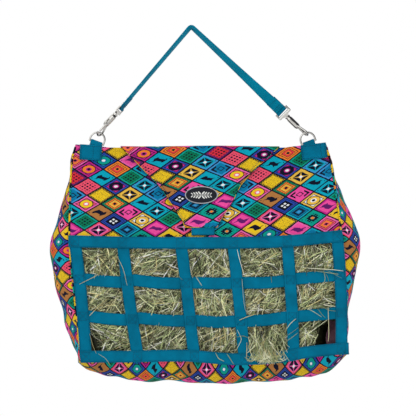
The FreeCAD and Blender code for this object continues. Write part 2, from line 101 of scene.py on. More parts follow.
class Shader:
    """One material under construction."""

    def __init__(self, name):
        self.mat = bpy.data.materials.new(name)
        self.mat.use_nodes = True
        self.tree = self.mat.node_tree
        self.bsdf = self.tree.nodes["Principled BSDF"]

    def new(self, kind, **props):
        node = self.tree.nodes.new(kind)
        for key, value in props.items():
            setattr(node, key, value)
        return node

    def link(self, a, b):
        self.tree.links.new(a.out if isinstance(a, Sock) else a, b)

    def uv(self, name):
        node = self.new("ShaderNodeUVMap", uv_map=name)
        split = self.new("ShaderNodeSeparateXYZ")
        self.link(node.outputs[0], split.inputs[0])
        return [Sock(self.tree, split.outputs[i]) for i in range(2)], node.outputs[0]

    def place(self):
        return self.new("ShaderNodeTexCoord").outputs["Object"]

    def noise(self, vector, scale, detail=2.0, rough=0.5):
        node = self.new("ShaderNodeTexNoise")
        self.link(vector, node.inputs["Vector"])
        node.inputs["Scale"].default_value = scale
        node.inputs["Detail"].default_value = detail
        node.inputs["Roughness"].default_value = rough
        return Sock(self.tree, node.outputs["Fac"])

    def stretched(self, vector, scale):
        node = self.new("ShaderNodeMapping")
        self.link(vector, node.inputs["Vector"])
        node.inputs["Scale"].default_value = scale
        return node.outputs[0]

    def ramp(self, fac, stops, constant=False):
        node = self.new("ShaderNodeValToRGB")
        ramp = node.color_ramp
        ramp.interpolation = "CONSTANT" if constant else "LINEAR"
        while len(ramp.elements) < len(stops):
            ramp.elements.new(1.0)
        for element, (pos, colour) in zip(ramp.elements, stops):
            element.position = pos
            element.color = (*colour[:3], 1.0)
        self.link(fac, node.inputs[0])
        return node.outputs[0]

    def mix(self, fac, a, b):
        node = self.new("ShaderNodeMix", data_type="RGBA")
        for value, slot in ((fac, 0), (a, 6), (b, 7)):
            if isinstance(value, (Sock, bpy.types.NodeSocket)):
                self.link(value, node.inputs[slot])
            else:
                node.inputs[slot].default_value = (*value, 1.0)
        return node.outputs[2]

    def shade(self, colour, fac):
        """Multiply a colour by a grey factor."""
        node = self.new("ShaderNodeVectorMath", operation="SCALE")
        self.link(colour, node.inputs[0])
        self.link(fac, node.inputs["Scale"])
        return node.outputs[0]

    def bump(self, height, strength, distance):
        node = self.new("ShaderNodeBump")
        node.inputs["Strength"].default_value = strength
        node.inputs["Distance"].default_value = distance
        self.link(height, node.inputs["Height"])
        self.link(node.outputs[0], self.bsdf.inputs["Normal"])

    def finish(self, colour, rough, **values):
        """Wire colour and roughness, set the other values, and give the material."""
        self.link(colour, self.bsdf.inputs["Base Color"])
        self.link(rough, self.bsdf.inputs["Roughness"])
        for key, value in values.items():
            self.bsdf.inputs[key.replace("_", " ")].default_value = value
        return self.mat


def srgb(r, g, b):
    """Linear colour from 0-255 values."""
    out = []
    for c in (r, g, b):
        c /= 255
        out.append(c / 12.92 if c <= 0.04045 else ((c + 0.055) / 1.055) ** 2.4)
    return tuple(out)


# ---- print
INK = srgb(8, 14, 38)
YELLOW, GOLD = srgb(240, 200, 32), srgb(232, 186, 70)
BLUE, CYAN = srgb(0, 122, 168), srgb(0, 165, 190)
GREEN, SEA = srgb(0, 120, 84), srgb(0, 158, 140)
ROYAL, SKY = srgb(40, 72, 168), srgb(62, 150, 212)
MAGENTA, PINK = srgb(196, 36, 140), srgb(240, 78, 160)
ROSE, SALMON = srgb(238, 104, 176), srgb(242, 84, 112)
ORANGE, RED = srgb(244, 132, 44), srgb(222, 48, 66)
BROWN, PURPLE = srgb(176, 118, 62), srgb(98, 28, 104)
WHITE = srgb(238, 240, 242)
RINGS, EYE, DOTS, STAR, TEETH, BRACKET, FOUR, LEAF, BURST = range(9)
REPEAT_ROWS, REPEAT_COLS = 10, 3
# Each cell: band beside the outline, ground, core colour, figure colour, figure.
CELLS = (
    (GOLD, YELLOW, YELLOW, INK, LEAF), (YELLOW, YELLOW, GOLD, INK, TEETH),
    (SEA, SEA, ORANGE, INK, BURST),
    (ROYAL, BLUE, WHITE, SEA, EYE), (ROSE, PINK, CYAN, PURPLE, LEAF),
    (ROSE, SALMON, INK, ORANGE, RINGS),
    (MAGENTA, MAGENTA, INK, ORANGE, EYE), (ORANGE, ORANGE, INK, RED, RINGS),
    (CYAN, BLUE, CYAN, INK, BRACKET),
    (CYAN, CYAN, BLUE, INK, LEAF), (SEA, GREEN, GREEN, INK, DOTS),
    (PURPLE, RED, RED, INK, DOTS),
    (SALMON, SALMON, SALMON, INK, DOTS), (ROYAL, MAGENTA, WHITE, INK, EYE),
    (SKY, CYAN, WHITE, INK, STAR),
    (YELLOW, YELLOW, GOLD, INK, TEETH), (GOLD, GOLD, WHITE, INK, STAR),
    (SKY, BLUE, CYAN, INK, BRACKET),
    (ROSE, SALMON, WHITE, YELLOW, EYE), (GREEN, ORANGE, INK, GOLD, RINGS),
    (CYAN, CYAN, CYAN, INK, LEAF),
    (BROWN, BROWN, GOLD, INK, LEAF), (PINK, PINK, PINK, INK, BRACKET),
    (CYAN, CYAN, WHITE, INK, STAR),
    (SEA, GREEN, GREEN, INK, DOTS), (ROYAL, ROYAL, WHITE, INK, FOUR),
    (GOLD, WHITE, INK, GOLD, EYE),
    (SALMON, ROSE, WHITE, INK, STAR), (CYAN, BLUE, SKY, INK, RINGS),
    (MAGENTA, PINK, MAGENTA, PURPLE, LEAF),
)


def printed_cloth():
    """Woven cloth with a printed lattice of diamonds, each with its own figure."""
    sh = Shader("printed_cloth")
    (u, v), uv_out = sh.uv("print")
    place = sh.place()
    wob = sh.noise(uv_out, 3.1, 1.0) - 0.5
    wob2 = sh.noise(uv_out, 4.3, 1.0) - 0.5
    a = u + v * 0.5 + wob * 0.06
    b = u - v * 0.5 + wob2 * 0.06
    i, j = (a + 0.5).floor(), (b + 0.5).floor()
    p, q = a - i, b - j
    row = (i - j).mod(REPEAT_ROWS)
    col = ((i + j) * 0.5).floor().mod(REPEAT_COLS)
    index = (row * REPEAT_COLS + col + 0.5) / len(CELLS)

    def pick(which):
        return sh.ramp(index, [(k / len(CELLS), c[which]) for k, c in enumerate(CELLS)], True)

    band, ground, core, mark = (pick(k) for k in range(4))
    # The figure's number, carried as a grey between 0 and 1.
    stops = [(k / len(CELLS), (c[4] / BURST,) * 3) for k, c in enumerate(CELLS)]
    split = sh.new("ShaderNodeSeparateColor")
    sh.link(sh.ramp(index, stops, True), split.inputs[0])
    kind = (Sock(sh.tree, split.outputs[0]) * BURST + 0.5).floor()
    ring = p.abs().max(q.abs()) * 2.0
    hx, hz = p + q, p - q
    dist = (hx * hx + hz * hz).sqrt()

    def one_of(*kinds):
        found = None
        for k in kinds:
            hit = (kind - float(k)).abs() < 0.5
            found = hit if found is None else found.max(hit)
        return found

    def inside(value, low, high):
        return (value > low) * (value < high)

    rings = inside(ring, 0.26, 0.44)
    eye = inside(dist, 0.22, 0.44)
    grid_p, grid_q = (p * 5.5 + 0.5).frac() - 0.5, (q * 5.5 + 0.5).frac() - 0.5
    dots = (grid_p.abs().max(grid_q.abs()) < 0.28) * (ring < 0.70)
    star = (ring < 0.60) * ((hx * hz).abs() > 0.011)
    zig = ((p + q) * 9.0).frac().min(((p - q) * 9.0).frac())
    teeth = (ring > 0.74) * (zig < 0.5)
    bracket = inside(ring, 0.50, 0.72) * (hx.abs() > 0.30)
    bracket = bracket.max(inside(ring, 0.20, 0.30))
    four = inside(ring, 0.0, 0.60) * (((p.abs() - 0.1).abs().max((q.abs() - 0.1).abs())) > 0.058)
    four = four.max(inside(ring, 0.74, 0.80))
    wave = (hx * 7.0 + wob * 6.0).sin() * 0.12
    leaf = (hz - wave).abs() < (hx.abs() * -0.46 + 0.27).max(0.0)
    burst = (dist > 0.16) * (dist < (hx * 22.0).sin() * (hz * 22.0).sin() * 0.16 + 0.40)
    figure = None
    for k, shape in ((RINGS, rings), (EYE, eye), (DOTS, dots), (STAR, star),
                     (TEETH, teeth), (BRACKET, bracket), (FOUR, four), (LEAF, leaf),
                     (BURST, burst)):
        part = one_of(k) * shape
        figure = part if figure is None else figure.max(part)
    heart = ((ring < 0.16) * one_of(RINGS, BURST, STAR)).max(
        (dist < 0.13) * one_of(EYE)).max((ring < 0.60) * one_of(FOUR))
    colour = sh.mix(ring > 0.74, ground, band)
    colour = sh.mix(heart, colour, core)
    colour = sh.mix(figure, colour, mark)
    line = inside(ring, 0.66, 0.73) * one_of(RINGS, EYE)
    line = line.max(inside(ring, 0.46, 0.52) * one_of(RINGS))
    line = line.max(inside(dist, 0.44, 0.50) * one_of(EYE))
    line = line.max((((hx.abs() - 0.72).abs() + hz.abs()) < 0.06) * one_of(EYE, STAR, BURST, LEAF))
    fleck = (sh.noise(uv_out, 22.0, 1.0, 0.6) > 0.60) * (ring < 0.7) * one_of(TEETH)
    colour = sh.mix(line.max(fleck), colour, INK)
    outline = ring > (wob * 0.06 + 0.915)
    colour = sh.mix(outline, colour, INK)
    # Ink soaks in unevenly, and the weave breaks the colour a little.
    soak = sh.noise(place, 34.0, 4.0, 0.6) * 0.34 + 0.72
    weave_a = (u * 420.0).sin() * (v * 260.0).sin()
    colour = sh.shade(colour, soak + weave_a * 0.05)
    ruck = sh.noise(place, 90.0, 3.0, 0.6)
    sh.bump(weave_a * 0.22 + ruck * 0.7, 0.4, 0.0012)
    rough = sh.noise(place, 60.0, 2.0) * 0.16 + 0.70
    return sh.finish(colour, rough, Specular_IOR_Level=0.10)


def webbing_cloth(name, light, dark):
    """Flat nylon webbing: fine ribs across, chevrons along, soft sheen."""
    sh = Shader(name)
    (u, v), uv_out = sh.uv("weave")
    place = sh.place()
    rib = (u * 2600.0).sin()
    chevron = ((u + v.abs() * WEB_W) * 1900.0).sin()
    patchy = sh.noise(place, 26.0, 4.0, 0.6)
    thread = sh.noise(sh.stretched(uv_out, (900.0, 14.0, 1.0)), 1.0, 2.0, 0.6)
    edge = (v.abs() > 0.455) * 0.16
    fac = patchy * 0.62 + thread * 0.30 + chevron * 0.06 + rib * 0.03 - edge
    colour = sh.ramp(fac, [(0.18, dark), (0.72, light)])
    sh.bump(rib * 0.35 + chevron * 0.5 + thread * 0.8, 0.45, 0.0006)
    return sh.finish(colour, patchy * 0.2 + 0.60, Specular_IOR_Level=0.04)


def plated(name, tint, painted_dark, rough):
    """Nickel plate: painted reflection as light and dark bands round its curves, faint polishing marks.
    """
    sh = Shader(name)
    place = sh.place()
    split = sh.new("ShaderNodeSeparateXYZ")
    sh.link(sh.new("ShaderNodeTexCoord").outputs["Normal"], split.inputs[0])
    nx, ny, nz = (Sock(sh.tree, split.outputs[k]) for k in range(3))
    cloud = sh.noise(place, 150.0, 3.0, 0.6)
    scratch = sh.noise(sh.stretched(place, (900.0, 900.0, 160.0)), 1.0, 3.0, 0.6)
    # Painted reflection: the colour runs from dark to light by which way the surface faces.
    painted_reflection = (nx * 3.4 + nz * 2.6 + ny * ny * 2.2 + cloud * 1.6).sin() * 0.5 + 0.5
    middle = tuple(c * 0.72 for c in tint)
    colour = sh.ramp(painted_reflection, [(0.10, painted_dark), (0.42, middle), (0.75, tint)])
    sh.bump(scratch * 0.4 + cloud, 0.12, 0.0003)
    return sh.finish(colour, cloud * 0.16 + scratch * 0.10 + rough, Metallic=1.0)


def straw_material():
    """Dry hay: colour from each stalk, with streaks along it; in the strands and packed core that
    colour carries painted shade, and in the strands painted highlight.
    """
    sh = Shader("hay")
    attr = sh.new("ShaderNodeAttribute", attribute_name="tint")
    place = sh.place()
    streak = sh.noise(place, 210.0, 3.0, 0.65)
    colour = sh.shade(attr.outputs["Color"], streak * 0.85 + 0.60)
    sh.bump(streak, 0.4, 0.0008)
    return sh.finish(colour, streak * 0.25 + 0.50, Specular_IOR_Level=0.3)


def plain_cloth(name, light, dark, scale=700.0, rough=0.85):
    """Dull backing cloth, thread or tape with a fine weave."""
    sh = Shader(name)
    place = sh.place()
    fine = sh.noise(place, scale, 3.0, 0.7)
    broad = sh.noise(place, 22.0, 3.0, 0.6)
    colour = sh.ramp(fine * 0.5 + broad * 0.5, [(0.3, dark), (0.7, light)])
    sh.bump(fine, 0.5, 0.0006)
    return sh.finish(colour, broad * 0.2 + (rough - 0.1), Specular_IOR_Level=0.2)


CLOTH = printed_cloth()
WEB = webbing_cloth("webbing", srgb(0, 124, 160), srgb(0, 80, 106))
# The second colour is the dark of the nickel's painted reflection.
NICKEL = plated("nickel", srgb(208, 206, 201), srgb(46, 45, 48), 0.14)
STRAW = straw_material()
LINING = plain_cloth("lining", srgb(70, 44, 62), srgb(30, 18, 30))
THREAD = plain_cloth("thread", srgb(4, 92, 122), srgb(0, 58, 84), 1500.0)
TAPE = plain_cloth("fastening_tape", srgb(28, 28, 32), srgb(8, 8, 10), 1200.0)
# The second colour is the dark of the rim's painted reflection.
RIM = plated("badge_silver", srgb(222, 222, 226), srgb(150, 150, 156), 0.3)
BADGE = plain_cloth("badge_black", srgb(14, 16, 32), srgb(6, 7, 18), 500.0, 0.45)

# ---- mesh helpers


def make_object(name, points, faces, uvs=None, uv_name="weave", mats=()):
    mesh = bpy.data.meshes.new(name)
    mesh.from_pydata([tuple(p) for p in points], [], [tuple(f) for f in faces])
    for mat in mats:
        mesh.materials.append(mat)
    if uvs is not None:
        layer = mesh.uv_layers.new(name=uv_name)
        index = np.zeros(len(mesh.loops), int)
        mesh.loops.foreach_get("vertex_index", index)
        layer.data.foreach_set("uv", np.asarray(uvs, float)[index].ravel())
    mesh.polygons.foreach_set("use_smooth", [True] * len(mesh.polygons))
    mesh.update()
    obj = bpy.data.objects.new(name, mesh)
    scene.collection.objects.link(obj)
    return obj


def attach(obj, body, replaced=()):
    """Put a piece on its body, in place of its CAD nodes."""
    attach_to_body(obj, body)
    if replaced:
        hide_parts(*replaced)


def unit(vectors):
    """The same vectors, each of length one."""
    return vectors / (np.linalg.norm(vectors, axis=-1, keepdims=True) + 1e-9)


def heading(line):
    """The direction of a polyline at each of its points."""
    return unit(np.gradient(line, axis=0))


def grid_object(name, points, uvs, uv_name, mats, thick=0.0):
    """A sheet through a rows x columns x 3 array, made solid by thick."""
    rows, cols = points.shape[:2]
    k = np.arange(rows * cols).reshape(rows, cols)
    faces = np.stack([k[:-1, :-1], k[:-1, 1:], k[1:, 1:], k[1:, :-1]], -1).reshape(-1, 4)
    obj = make_object(name, points.reshape(-1, 3), faces, uvs.reshape(-1, 2), uv_name, mats)
    if thick:
        mod = obj.modifiers.new("thickness", "SOLIDIFY")
        mod.thickness = thick
        mod.offset = -1.0
        if len(mats) > 1:
            mod.material_offset = 1
            mod.material_offset_rim = 0
    return obj


def run_length(line):
    """How far along a polyline each of its points is."""
    return np.r_[0, np.cumsum(np.linalg.norm(np.diff(line, axis=0), axis=1))]


def tube_faces(rows, m, first=0, closed=True):
    """Faces round a tube of rows rings of m points, numbered from first."""
    k = first + np.arange(rows * m).reshape(rows, m)
    kn = np.roll(k, -1, axis=1)
    faces = np.stack([k[:-1], kn[:-1], kn[1:], k[1:]], -1).reshape(-1, 4).tolist()
    return faces + [k[0, ::-1].tolist(), k[-1].tolist()] if closed else faces


def sweep(name, line, wide, out, ring, uvs, uv_name, mat):
    """A closed bar along line; ring is its outline in shares of wide and out."""
    a, b = ring[:, 0:1], ring[:, 1:2]
    pts = line[:, None] + wide[:, None] * a + out[:, None] * b
    faces = tube_faces(len(line), len(ring))
    return make_object(name, pts.reshape(-1, 3), faces, uvs.reshape(-1, 2), uv_name, [mat])


def webbing(name, centre, wide, out, width=WEB_W, thick=1.7 * MM, mat=WEB):
    """Flat webbing with rounded edges along centre; wide and out are unit arrays."""
    front_half = [(-0.5, -0.22), (-0.485, -0.5), (-0.25, -0.5), (0, -0.5), (0.25, -0.5),
                  (0.485, -0.5), (0.5, -0.22)]
    ring = np.array(front_half + [(-a, -b) for a, b in front_half])
    uvs = np.stack(np.broadcast_arrays(run_length(centre)[:, None], ring[:, 0]), -1)
    return sweep(name, centre, wide * width, out * thick, ring, uvs, "weave", mat)


def tube(name, line, radius):
    """A thin round welt of the printed cloth along a polyline."""
    t = heading(line)
    n1 = unit(np.cross(t, np.where(np.abs(t[:, 1:2]) < 0.9, BACK, (1.0, 0, 0))))
    ang = np.linspace(0, 2 * math.pi, 8, endpoint=False)
    ring = np.stack([np.cos(ang), np.sin(ang)], -1)
    uvs = np.stack(np.broadcast_arrays(run_length(line)[:, None] * 16.5, ang * 0.03), -1)
    return sweep(name, line, n1 * radius, np.cross(t, n1) * radius, ring, uvs, "print", CLOTH)


def ripple(x, z, seed, size, amp):
    """Smooth made-up unevenness of cloth: a few long waves."""
    r = np.random.default_rng(seed)
    total = np.zeros(np.broadcast(x, z).shape)
    for k in range(7):
        angle, wave = r.uniform(0, math.pi), size * r.uniform(0.6, 1.9)
        phase = r.uniform(0, 2 * math.pi)
        total = total + np.sin((x * math.cos(angle) + z * math.sin(angle)) * 2 * math.pi / wave + phase)
    return amp * total / 3.0


stitch_points, stitch_faces = [], []


def stitch_line(points, out=AHEAD, pitch=4.2 * MM, length=2.9 * MM, across=0.45 * MM):
    """A row of raised thread stitches along a polyline, on the side out."""
    points = np.asarray(points, float)
    out = np.asarray(out, float)
    run = run_length(points)
    for s in np.arange(pitch / 2, run[-1], pitch):
        at = np.array([np.interp(s, run, points[:, k]) for k in range(3)])
        ahead = np.array([np.interp(s + 0.001, run, points[:, k]) for k in range(3)])
        if np.linalg.norm(ahead - at) < 1e-7:
            continue
        along = unit(ahead - at)
        side = np.cross(out, along)
        base = len(stitch_points)
        for la, h in ((-0.5, -0.2), (-0.25, 0.55), (0.25, 0.55), (0.5, -0.2)):
            for sgn in (-1, 1):
                spread = 0.6 if abs(la) > 0.3 else 1.0
                stitch_points.append(at + along * (la * length) + side * (sgn * across * spread)
                                     + out * (h * 0.7 * MM))
        for k in range(3):
            b0 = base + 2 * k
            stitch_faces.append((b0, b0 + 1, b0 + 3, b0 + 2))
        stitch_faces.append((base, base + 2, base + 4, base + 6))
        stitch_faces.append((base + 7, base + 5, base + 3, base + 1))
        stitch_faces.append((base + 6, base + 7, base + 1, base))


def flush_stitches(name, body):
    obj = make_object(name, stitch_points, stitch_faces, mats=[THREAD])
    stitch_points.clear()
    stitch_faces.clear()
    attach(obj, body)


# ---- bag outline
TOP = -0.252
FRONT_SWELL = 0.083
PRINT_ROW, PRINT_COL = 18.45, 60.6  # millimetres
LEFT = np.array([(-0.246, -0.252), (-0.2535, -0.275), (-0.256, -0.31), (-0.257, -0.37),
                 (-0.258, -0.455), (-0.251, -0.53), (-0.241, -0.62), (-0.233, -0.7035)])
RIGHT = np.array([(0.287, -0.252), (0.297, -0.278), (0.302, -0.31), (0.307, -0.35),
                  (0.313, -0.39), (0.319, -0.442), (0.3235, -0.53), (0.328, -0.62),
                  (0.330, -0.686)])


def side_x(edge, z):
    return np.interp(-np.asarray(z), -edge[:, 1], edge[:, 0])


def swell(z):
    """0 at the mouth band to 1 at the net window: how far the bag has filled out."""
    drop = -0.2885 - np.asarray(z)
    s = (0.5 * (drop + np.sqrt(drop * drop + 0.00012))) / 0.163
    return np.where(s < 0.9, s, 1 - 0.1 * np.exp(-(s - 0.9) / 0.1))


def front_y(x, z):
    return -0.001 - FRONT_SWELL * swell(z) + ripple(x, z, 3, 0.16, 0.0011) * swell(z)


def back_y(x, z):
    lower = np.clip((-0.45 - z) / 0.25, 0, 1)
    belly = 0.006 * np.sin(lower * math.pi)
    return 0.015 + 0.068 * swell(z) + belly + ripple(x, z, 5, 0.2, 0.002) * swell(z)


def print_uv(x, z):
    """Print lattice on a panel: columns, and half rows downward."""
    bend = 0.00021 * np.clip(x / MM + 200, 0, None) ** 2
    rows = 4 + (-336.5 - z / MM + bend) / PRINT_ROW
    cols = (x / MM + 220) / PRINT_COL + 0.02 * (rows - 4)
    return np.stack([cols, rows], -1)


def panel(levels, bottom_left, bottom_right, depth):
    """A cloth panel from the mouth down to a slanting lower edge."""
    s = np.linspace(0, 1, 150)[None, :]
    t = np.linspace(0, 1, levels)[:, None]
    z_left = TOP + (bottom_left - TOP) * t
    z_right = TOP + (bottom_right - TOP) * t
    z = z_left + (z_right - z_left) * s
    corner = np.clip(1 - s / 0.13, 0, 1) ** 0.7 * 0.0055
    corner = corner + np.clip((s - 0.84) / 0.16, 0, 1) ** 0.7 * 0.008
    z = z + (corner + 0.0006 * np.sin(s * 19 + 1.3) - 0.0008) * np.clip(1 - t * 3.5, 0, 1)
    x = side_x(LEFT, z_left) + (side_x(RIGHT, z_right) - side_x(LEFT, z_left)) * s
    return np.stack([x, depth(x, z), z], -1), print_uv(x, z)


CLOTH_T = 1.3 * MM
points, uv = panel(90, -0.462, -0.449, front_y)
front = grid_object("front_cloth", points[:, ::-1], uv[:, ::-1], "print", [CLOTH, LINING],
                    CLOTH_T)
attach(front, "bag", ["front_panel", "front_hem"])

points, uv = panel(150, -0.7035, -0.686, back_y)
back = grid_object("back_cloth", points, uv + (1.4, 5.3), "print", [CLOTH, LINING], CLOTH_T)
attach(back, "bag", ["back_panel", "back_hem"])

# Gusset: down the left, under and up the right. Each station has its height, or its x
# underneath, then the direction in degrees and the distance in mm that it bulges outward.
STATIONS = (
    (-0.252, 180, 1), (-0.270, 180, 2.0), (-0.300, 180, 3.0), (-0.330, 180, 5), (-0.345, 180, 9),
    (-0.370, 180, 17), (-0.395, 180, 24), (-0.420, 180, 32), (-0.445, 180, 40),
    (-0.477, 180, 46), (-0.500, 181, 45), (-0.534, 181, 40), (-0.560, 182, 36),
    (-0.585, 183, 32), (-0.611, 184, 27), (-0.636, 185, 22), (-0.661, 188, 17),
    (-0.685, 195, 12),
)
UNDER = (
    (-0.2325, 214, 11), (-0.229, 232, 17), (-0.219, 246, 25), (-0.200, 258, 32), (-0.175, 266, 38),
    (-0.140, 270, 43), (-0.100, 270, 48), (-0.060, 270, 52), (-0.020, 270, 56), (0.023, 270, 59),
    (0.080, 270, 61), (0.142, 270, 61), (0.180, 270, 60), (0.210, 270, 58), (0.240, 270, 55),
    (0.265, 270, 51), (0.292, 270, 43), (0.308, 274, 29), (0.322, 296, 11), (0.329, 325, 4),
)
UP = (
    (-0.676, 345, 2), (-0.661, 355, 2), (-0.636, 360, 3), (-0.611, 360, 7),
    (-0.585, 360, 12), (-0.560, 360, 18), (-0.534, 360, 24), (-0.509, 360, 32),
    (-0.477, 360, 40), (-0.445, 360, 39), (-0.420, 360, 33), (-0.394, 360, 25),
    (-0.369, 360, 16), (-0.343, 360, 9), (-0.318, 360, 5), (-0.288, 360, 3),
    (-0.252, 360, 1.5),
)
path = [(side_x(LEFT, z), z, a, b) for z, a, b in STATIONS]
path += [(x, np.interp(x, (-0.233, 0.330), (-0.7035, -0.686)), a, b) for x, a, b in UNDER]
path += [(side_x(RIGHT, z), z, a, b) for z, a, b in UP]
path = np.array(path, float)
run = run_length(path[:, :2])
fine = np.linspace(0, run[-1], 420)
gx, gz, ga, gb = (np.interp(fine, run, path[:, k]) for k in range(4))
kernel = np.hanning(13) / np.hanning(13).sum()


def soften(a):
    """A list of values smoothed over 13 of them."""
    return np.convolve(np.pad(a, 6, mode="edge"), kernel, "valid")


ga, gb = soften(ga), soften(gb)
across = np.linspace(0, 1, 44)
lift = np.sin(across * math.pi) ** 0.62
gout = np.stack([np.cos(np.radians(ga)), np.sin(np.radians(ga))], -1)
yf, yb = front_y(gx, gz), back_y(gx, gz)
gp = np.zeros((len(fine), len(across), 3))
along = fine[:, None]
fold = ripple(along, across * 0.17, 11, 0.12, 0.0026)
crease = 0.0011 * np.sin(along * 95 + 5 * np.sin(along * 13) + 4 * across)
push = gb[:, None] * MM * lift + (fold + crease) * np.sin(across * math.pi) ** 0.5
gp[..., 0] = gx[:, None] + gout[:, 0:1] * push
gp[..., 1] = yf[:, None] + (yb - yf)[:, None] * across
gp[..., 2] = gz[:, None] + gout[:, 1:2] * push
guv = np.stack([across * 3.6 + along * 0.2, along / (PRINT_ROW * MM) + 0 * across], -1)
gusset = grid_object("gusset_cloth", gp, guv, "print", [CLOTH, LINING], CLOTH_T)
attach(gusset, "bag", ["gusset_left", "gusset_bottom", "gusset_right"])


for name, ys in (("front_seam", yf - 0.0005), ("back_seam", yb + 0.0005)):
    seam = tube(name, np.stack([gx, ys, gz], -1), 2.1 * MM)
    attach(seam, "bag")

# ---- net window
NET_Z = (-0.447, -0.571, -0.689)
UPRIGHTS = ((-246.5, -232, -222.8), (-146.4, -130.5, -114.3), (-23.4, -7.2, 6.6),
            (89.3, 100.5, 112.5), (203, 212.3, 216.2), (309.5, 317.8, 317.6))
# Each rail's centre line, (x, z) from left to right; it sags between uprights.
RAILS = (
    ((-260, -452), (-150, -455), (-30, -456), (102, -455.5), (175, -454), (215, -451.5),
     (260, -447), (297, -443), (322, -440.5)),
    ((-246, -532), (-224, -532.6), (-185, -537), (-148, -539.3), (-124, -533.6), (-74, -540.3),
     (-25, -541.5), (2, -539.7), (45, -541.5), (85, -541), (112, -540.2), (150, -540.6),
     (196, -536.5), (224, -531.3), (262, -528.6), (303, -524.2), (322, -524)),
    ((-240, -611), (-215, -610.8), (-180, -616), (-138, -619.3), (-111, -614), (-64, -619.6),
     (-16, -621), (12, -619.7), (53, -624), (92, -621.5), (118, -621.5), (160, -619),
     (201, -612.5), (226, -611.3), (262, -608.5), (304, -604.2), (328, -603)),
    ((-240, -697), (-210, -696.4), (-128, -696.4), (-60, -694.5), (-9, -694), (21, -696.4),
     (60, -700), (97, -702.2), (150, -700.5), (203, -695.5), (240, -687.5), (305, -680.5),
     (336, -679)),
)
Y_MID, Y_UP, Y_FRONT = -0.085, -0.0873, -0.0893


def upright_x(k, z):
    """Centre line of an upright: a parabola through its three stations."""
    t = (np.asarray(z) - NET_Z[0]) / (NET_Z[2] - NET_Z[0])
    tm = (NET_Z[1] - NET_Z[0]) / (NET_Z[2] - NET_Z[0])
    a, m, b = UPRIGHTS[k]
    bow = (m - a - (b - a) * tm) / (tm * (1 - tm))
    return (a + (b - a) * t + bow * t * (1 - t)) * MM


def rail_z(k, x):
    """Height of a rail's centre line, its bends rounded over 20 mm."""
    table = np.array(RAILS[k]) * MM
    x = np.asarray(x)
    near = [np.interp(x + shift, table[:, 0], table[:, 1])
            for shift in (-0.010, -0.005, 0.0, 0.005, 0.010)]
    return np.mean(near, axis=0)


def belly(x, z):
    """How far hay pushes the net forward, at most 4.5 mm."""
    sx = np.clip((x + 0.25) / 0.57, 0, 1)
    sz = np.clip((-0.445 - z) / 0.25, 0, 1)
    return -0.0045 * np.sin(sx * math.pi) ** 0.7 * np.sin(sz * math.pi) ** 0.7


def net_strip(name, replaced, centre, side, roll, keep, edge_stitches):
    """One strip of the net; side is 1 or -1, roll tips it, keep picks its points."""
    out = np.tile(AHEAD, (len(centre), 1))
    wide = side * np.cross(AHEAD, heading(centre)) * np.cos(roll) + out * np.sin(roll) * 0.3
    strip = webbing(name, centre[keep], wide[keep], out[keep])
    attach(strip, "bag", [replaced])
    for off in (-0.41, 0.41) if edge_stitches else ():
        stitch_line((centre + wide * (off * WEB_W) + out * 0.9 * MM)[edge_stitches])


for k, (name, x0, x1) in enumerate((("top", -0.2595, 0.3205), ("upper", -0.246, 0.319),
                                    ("lower", -0.240, 0.326), ("bottom", -0.234, 0.334))):
    x = np.linspace(x0, x1, 160)
    z = rail_z(k, x)
    inner = k in (1, 2)
    y = (Y_MID if inner else Y_FRONT) + belly(x, z) * (1 if inner else 0.25)
    roll = np.radians(5 * np.sin(x * 17 + k))[:, None]
    net_strip("net_rail_" + name, "window_rail_" + name, np.stack([x, y, z], -1), 1, roll,
              slice(None), None if inner else slice(None))

for k in range(6):
    z = np.linspace(-0.436, -0.700, 90)
    x = upright_x(k, z) + 0.7 * MM * np.sin((z + 0.44) * 24 + k * 1.7) * (0 < k < 5)
    bury = np.clip(1 - np.abs(z + 0.571) / 0.122, 0, 1) ** 0.25
    y = Y_UP + belly(x, z) * bury
    keep_in = (z < rail_z(0, x) + 0.008) & (z > rail_z(3, x) - 0.008)
    net_strip("net_upright_%d" % (k + 1), "window_upright_%d" % (k + 1),
              np.stack([x, y, z], -1), -1, 0.0, keep_in, slice(6, -6) if k in (0, 5) else None)

# Box stitching with a cross where uprights meet rails.
for k in range(6):
    for r in range(4):
        zc = rail_z(r, upright_x(k, -0.45 - 0.08 * r))
        xc = upright_x(k, zc)
        h = 8.6 * MM
        y = (Y_FRONT if r in (0, 3) else Y_UP + belly(xc, zc)) - 0.9 * MM
        c = [(xc - h, y, zc - h), (xc + h, y, zc - h), (xc + h, y, zc + h), (xc - h, y, zc + h)]
        for line in (c + [c[0]], [c[0], c[2]], [c[1], c[3]]):
            stitch_line(line, AHEAD, 3.6 * MM, 2.5 * MM)
flush_stitches("net_stitching", "bag")

# ---- hay


def opening(x, z):
    """1 in the middle of a net opening, 0 under the webbing."""
    ux = np.stack([upright_x(k, z) for k in range(6)], 0)
    rz = np.stack([rail_z(k, x) for k in range(4)], 0)
    near_x = np.abs(ux - x[None]).min(0)
    near_z = np.abs(rz - z[None]).min(0)
    fx = np.clip((near_x - 0.0135) / 0.016, 0, 1)
    fz = np.clip((near_z - 0.0135) / 0.014, 0, 1)
    inside = (x > ux[0]) & (x < ux[5]) & (z < rz[0]) & (z > rz[3])
    return fx * fz * inside


def tint_points(obj, colours):
    """Give each point of a piece its own hay colour, opaque; for the strands and the packed core it
    also carries painted shade, and for the strands painted highlight.
    """
    attr = obj.data.color_attributes.new(name="tint", type="FLOAT_COLOR", domain="POINT")
    opaque = np.ones((len(colours), 1))
    attr.data.foreach_set("color", np.concatenate([colours, opaque], 1).ravel())


def stalk_mesh(name, paths, offsets, colours, closed):
    """Stalks along paths, each with len(offsets) points round it at each step."""
    count, steps = paths.shape[:2]
    m = len(offsets)
    cloud = np.stack([paths + offset for offset in offsets], 2)
    faces = []
    for first in range(0, count * steps * m, steps * m):
        faces += tube_faces(steps, m, first, closed)
    obj = make_object(name, cloud.reshape(-1, 3), faces, mats=[STRAW])
    tint_points(obj, np.repeat(colours, steps * m, axis=0))
    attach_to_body(obj, "bag")


